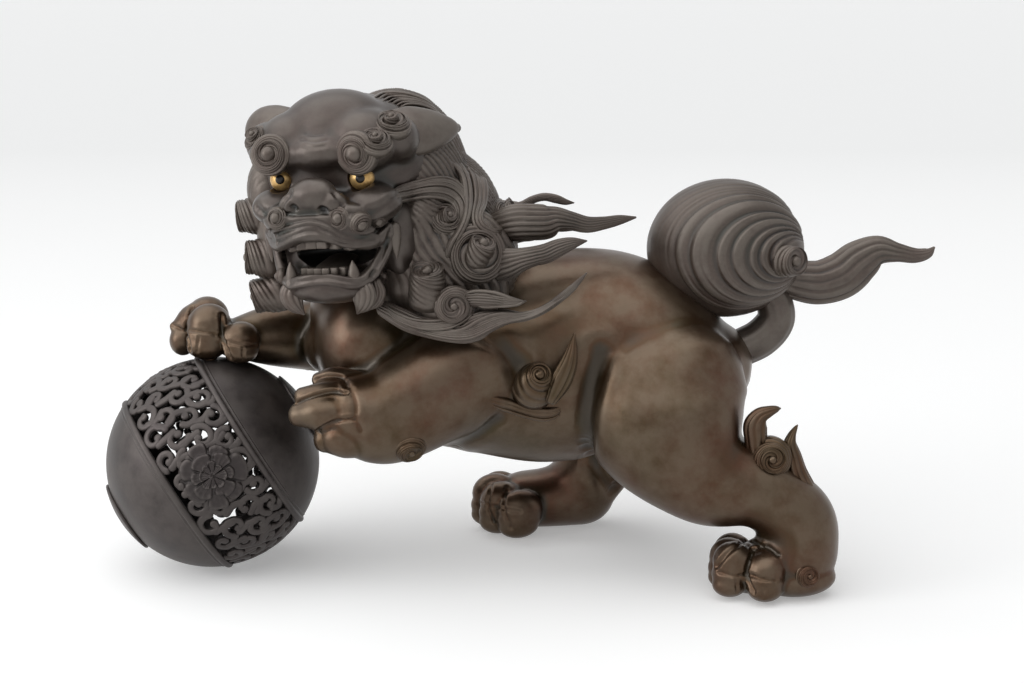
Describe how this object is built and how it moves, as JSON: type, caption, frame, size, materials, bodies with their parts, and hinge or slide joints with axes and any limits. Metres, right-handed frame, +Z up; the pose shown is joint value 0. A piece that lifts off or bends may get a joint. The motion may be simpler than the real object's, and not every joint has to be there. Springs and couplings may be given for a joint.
{
  "type": "guardian lion figure with ball",
  "caption": "Cast bronze guardian lion on its hind feet, head turned, right forepaw on a pierced peony ball; the ball turns, and the head and tail pull off their seats.",
  "frame": {"origin": "middle of the underside of the whole figure, on the surface it stands on", "axes": "+X from the ball towards the tail, +Y towards the lion's right side, +Z up"},
  "size_m": [0.4566, 0.1742, 0.2669],
  "materials": {
    "body_bronze": "satin brown patina with green in the hollows",
    "head_bronze": "dark brown satin patina",
    "ball_bronze": "dark brown matt patina",
    "gilt": "worn gilding",
    "black_alloy": "black polished inlay"
  },
  "bodies": {
    "lion": {"torso": "body_bronze", "hind_leg_left": "body_bronze", "hind_leg_right": "body_bronze", "foreleg_left": "body_bronze", "foreleg_right": "body_bronze", "paw_peg": "body_bronze", "shoulder_flame_left": "body_bronze", "shoulder_flame_right": "body_bronze", "hock_flame_left": "body_bronze", "hock_flame_right": "body_bronze", "elbow_curl_left": "body_bronze"},
    "head": {"head": "head_bronze", "lower_jaw": "head_bronze", "upper_teeth": "head_bronze", "lower_teeth": "head_bronze", "tongue": "head_bronze", "eye_left": "gilt", "pupil_left": "black_alloy", "ear_left": "head_bronze", "brow_curls_left": "head_bronze", "upper_fang_left": "head_bronze", "lower_fang_left": "head_bronze", "beard_left": "head_bronze", "eye_right": "gilt", "pupil_right": "black_alloy", "ear_right": "head_bronze", "brow_curls_right": "head_bronze", "upper_fang_right": "head_bronze", "lower_fang_right": "head_bronze", "beard_right": "head_bronze", "mane_hood": "head_bronze", "mane_lock_upper_left": "head_bronze", "mane_lock_upper_right": "head_bronze", "mane_lock_middle_left": "head_bronze", "mane_lock_middle_right": "head_bronze", "mane_lock_lower_left": "head_bronze", "mane_lock_lower_right": "head_bronze", "mane_lock_long_left": "head_bronze", "mane_lock_long_right": "head_bronze", "mane_lock_crest": "head_bronze"},
    "tail": {"tail_stem": "head_bronze", "tail_plume": "head_bronze", "tail_tip": "head_bronze", "tail_button_left": "head_bronze", "tail_button_right": "head_bronze"},
    "ball": {"ball_cap_left": "ball_bronze", "ball_cap_right": "ball_bronze", "ball_bead_left": "ball_bronze", "ball_bead_right": "ball_bronze", "ball_pole_disc_left": "ball_bronze", "ball_pole_disc_right": "ball_bronze", "ball_openwork_band": "ball_bronze", "ball_peony_1": "ball_bronze", "ball_peony_2": "ball_bronze", "ball_peony_3": "ball_bronze"}
  },
  "joints": [
    {"name": "head_lift", "type": "slide", "parent": "lion", "child": "head", "axis": [-0.5, 0, 0.866], "range_m": [0, 0.03]},
    {"name": "tail_pull", "type": "slide", "parent": "lion", "child": "tail", "axis": [0.8, 0, 0.6], "range_m": [0, 0.03]},
    {"name": "ball_turn", "type": "hinge", "parent": "lion", "child": "ball", "pos_m": [-0.17027, -0.00275, 0.05949], "axis": [0, 0, 1], "continuous": true}
  ]
}
